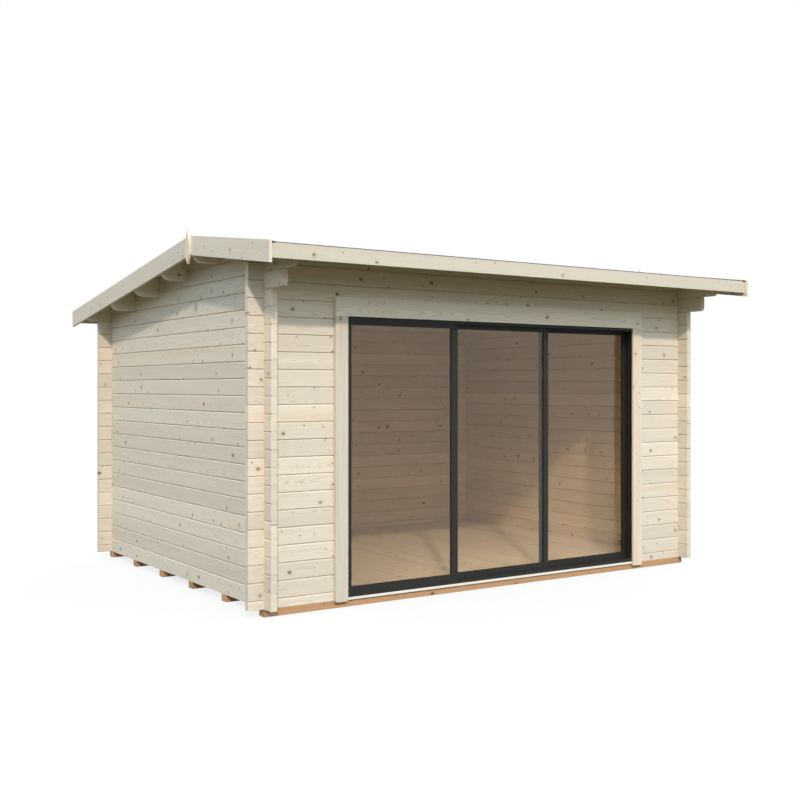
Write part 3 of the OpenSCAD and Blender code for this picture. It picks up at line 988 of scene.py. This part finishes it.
def felt_trims():
    """The ridge strip, the turned edges and the folded corners."""
    half_strip = 0.15
    felt = Solids()
    ridge_strip = []
    for s in (-half_strip, 0.0, half_strip):
        z = roof_z(RIDGE_Y + s) + BOARD_UP + SHEET_UP + 2 * LAP_GAP
        ridge_strip.append(roof_layer(RIDGE_Y + s, z, FOLD_T))
    felt.loft(ridge_strip)
    turned_edges(felt)
    folded_corners(felt)
    piece = felt.make("felt_ridge_and_edges")
    ease(piece, 0.0006)
    finish_piece(piece, FELT, "house")


def clout_nails():
    """Flat heads along the felt's eaves and laps."""
    radius, spacing, from_edge = 0.0048, 0.1, 0.035
    sunk, proud = -0.0004, 0.0010
    corners = [math.radians(angle) for angle in range(0, 360, 45)]
    circle = [(radius * math.cos(t), radius * math.sin(t)) for t in corners]
    nails = Solids()
    for laps, way in ((front_laps, -1), (back_laps, 1)):
        for k, lap in enumerate(laps):
            y = RIDGE_Y + way * (lap - from_edge)
            felt_top = BOARD_UP + HAIR + SHEET_UP + lap_lift(k)
            for n in range(int(2 * VERGE_X / spacing)):
                x = -VERGE_X + spacing / 2 + n * spacing
                nails.loft([[(x + a, y + b, roof_z(y + b) + felt_top + up) for a, b in circle]
                            for up in (sunk, proud)])
    finish_piece(nails.make("clout_nails"), ZINC, "house")


front_laps = felt_sheets("front_roofing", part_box("front_roofing")[0].y)
back_laps = felt_sheets("back_roofing", FELT_HIGH.y)
felt_trims()
clout_nails()


# ---------------------------------------------------------------- floor
def floor_boards():
    """Tongued floor boards that run from front to back, cut round the door's sill."""
    usual_width, gap, edge = 0.112, 0.0006, 0.0012
    low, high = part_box("floor_boards")
    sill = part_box("door_sill_board")[1].y
    count = round((high.x - low.x) / usual_width)
    width = (high.x - low.x) / count
    boards = Solids()
    for i in range(count):
        x0, x1 = low.x + i * width + gap, low.x + (i + 1) * width - gap
        start = sill if DOOR_LEFT - width / 2 < (x0 + x1) / 2 < DOOR_RIGHT + width / 2 else low.y
        section = [(x0, low.z), (x1, low.z), (x1, high.z - edge), (x1 - edge, high.z),
                   (x0 + edge, high.z), (x0, high.z - edge)]
        boards.prism("Y", start, high.y, section)
    piece = boards.make("floor_tongued_boards")
    grain(piece, Y, X, 90, pith=0.045)
    finish_piece(piece, FLOOR_WOOD, "house", ["floor_boards"])


floor_boards()


# ---------------------------------------------------------------- door
def dress(node, material):
    """Gives a CAD node's object its material."""
    node.data.materials.clear()
    node.data.materials.append(material)


def gaskets(side):
    """A leaf's gaskets, round both faces of its pane."""
    wide, tall = 0.0025, 0.0065
    low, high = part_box(f"glass_{side}")
    strips = ((low.x, low.x + wide, low.z, high.z), (high.x - wide, high.x, low.z, high.z),
              (low.x + wide, high.x - wide, low.z, low.z + wide),
              (low.x + wide, high.x - wide, high.z - wide, high.z))
    rings = Solids()
    for y0, y1 in ((low.y - tall, low.y), (high.y, high.y + tall)):
        for x0, x1, z0, z1 in strips:
            rings.box((x0, y0, z0), (x1, y1, z1))
    piece = rings.make(f"gasket_{side}")
    ease(piece, 0.0006)
    finish_piece(piece, RUBBER, f"leaf_{side}")


for name, node in frame["nodes"].items():
    if name.startswith(("door_head", "door_track", "door_jamb", "leaf_frame")):
        dress(node, COAT)
        round_edges(node, 0.0008)
    elif name.startswith("glass_"):
        dress(node, GLASS)
for side in ("left", "middle", "right"):
    gaskets(side)


# ---------------------------------------------------------------- stage, light and camera
WHITE = (1.0, 1.0, 1.0)


def stage():
    """A pale floor that fades into the white background, and keeps part of the house's shadow."""
    size = 60
    fade_start, fade_end = 2.8, 6.5
    dull = (0.085, 0.075, 0.038)         # what the house gets its bounced light from
    pale = (0.85, 0.85, 0.85)            # what is seen
    mesh = bpy.data.meshes.new("stage_floor")
    corners = [(a, b, 0) for a, b in rectangle(-size, size, -size, size)]
    mesh.from_pydata(corners, [], [(0, 1, 2, 3)])
    floor = add_object("stage_floor", mesh)
    s = Shader("stage_floor")
    s.look("Roughness", 1.0)
    s.look("Specular IOR Level", 0.0)
    away = s.node("VectorMath", {0: s.place()}, operation="LENGTH").outputs["Value"]
    seen = s.seen()
    s.look("Base Color", s.blend("MIX", seen, dull, pale))
    share = s.times(s.step(away, fade_start, fade_end, 0.80, 1.0), seen)
    white = s.node("Emission", {"Color": WHITE, "Strength": 1.0})
    s.end_in_mix("Material Output", share, s.surface, white)
    mesh.materials.append(s.material)


def world():
    """A soft sky that lights the house, and a white one that the camera, mirrors and glass see."""
    ground, sky = (0.50, 0.50, 0.44), (0.82, 1.03, 1.17)
    horizon = 0.22                       # rise of the direction at which the ground has become sky
    studio = bpy.data.worlds.new("studio")
    bpy.context.scene.world = studio
    s = Nodes(studio)
    rise = s.split(s.node("TexCoord").outputs["Generated"])["Z"]
    soft = s.tree.nodes["Background"]
    s.put(soft.inputs["Color"], s.blend("MIX", s.step(rise, 0.0, horizon), ground, sky))
    s.put(soft.inputs["Strength"], 1.0)
    white = s.node("Background", {"Color": WHITE, "Strength": 1.0})
    s.end_in_mix("World Output", s.seen(), soft, white)


def aim(lamp, direction):
    lamp.rotation_euler = direction.to_track_quat("-Z", "Y").to_euler()


def sun():
    """The main light, which comes from the front left."""
    lamp = bpy.data.lights.new("key", "SUN")
    lamp.energy = 1.90
    lamp.color = (1.0, 0.86, 0.76)
    lamp.angle = math.radians(2.5)
    aim(add_object("key", lamp), Vector((0.4154, 0.7262, -0.5483)))


def soft_lamp(name, place, target, size, energy, colour):
    """A wide soft lamp, unseen itself."""
    lamp = bpy.data.lights.new(name, "AREA")
    lamp.shape = "RECTANGLE"
    lamp.size, lamp.size_y = size
    lamp.energy = energy
    lamp.color = colour
    soft = add_object(name, lamp)
    soft.location = place
    aim(soft, Vector(target) - Vector(place))
    soft.visible_camera = soft.visible_glossy = soft.visible_transmission = False


def camera():
    """A level camera about 1.5 m above the ground, in front of the left corner."""
    heading = -33.72                     # degrees from the Y axis, turned towards X
    lens = bpy.data.cameras.new("camera")
    lens.lens = 48.2
    lens.sensor_width = 36
    lens.shift_y = -0.016
    eye = add_object("camera", lens)
    eye.location = (-5.036, -7.614, 1.477)
    eye.rotation_euler = (math.radians(90), 0, math.radians(heading))
    bpy.context.scene.camera = eye


stage()
world()
sun()
soft_lamp("front_fill", place=(0.2, FRONT_Y - 5.2, 5.2), target=(-0.6, FRONT_Y, 1.5),
          size=(6.4, 3.5), energy=118, colour=(0.96, 1.0, 0.98))
soft_lamp("back_fill", place=(6.5, 7.0, 4.2), target=(0.0, 0.0, 1.0),
          size=(8.0, 3.5), energy=420, colour=(1.0, 0.84, 0.70))
camera()
bpy.context.scene.view_settings.view_transform = "Standard"
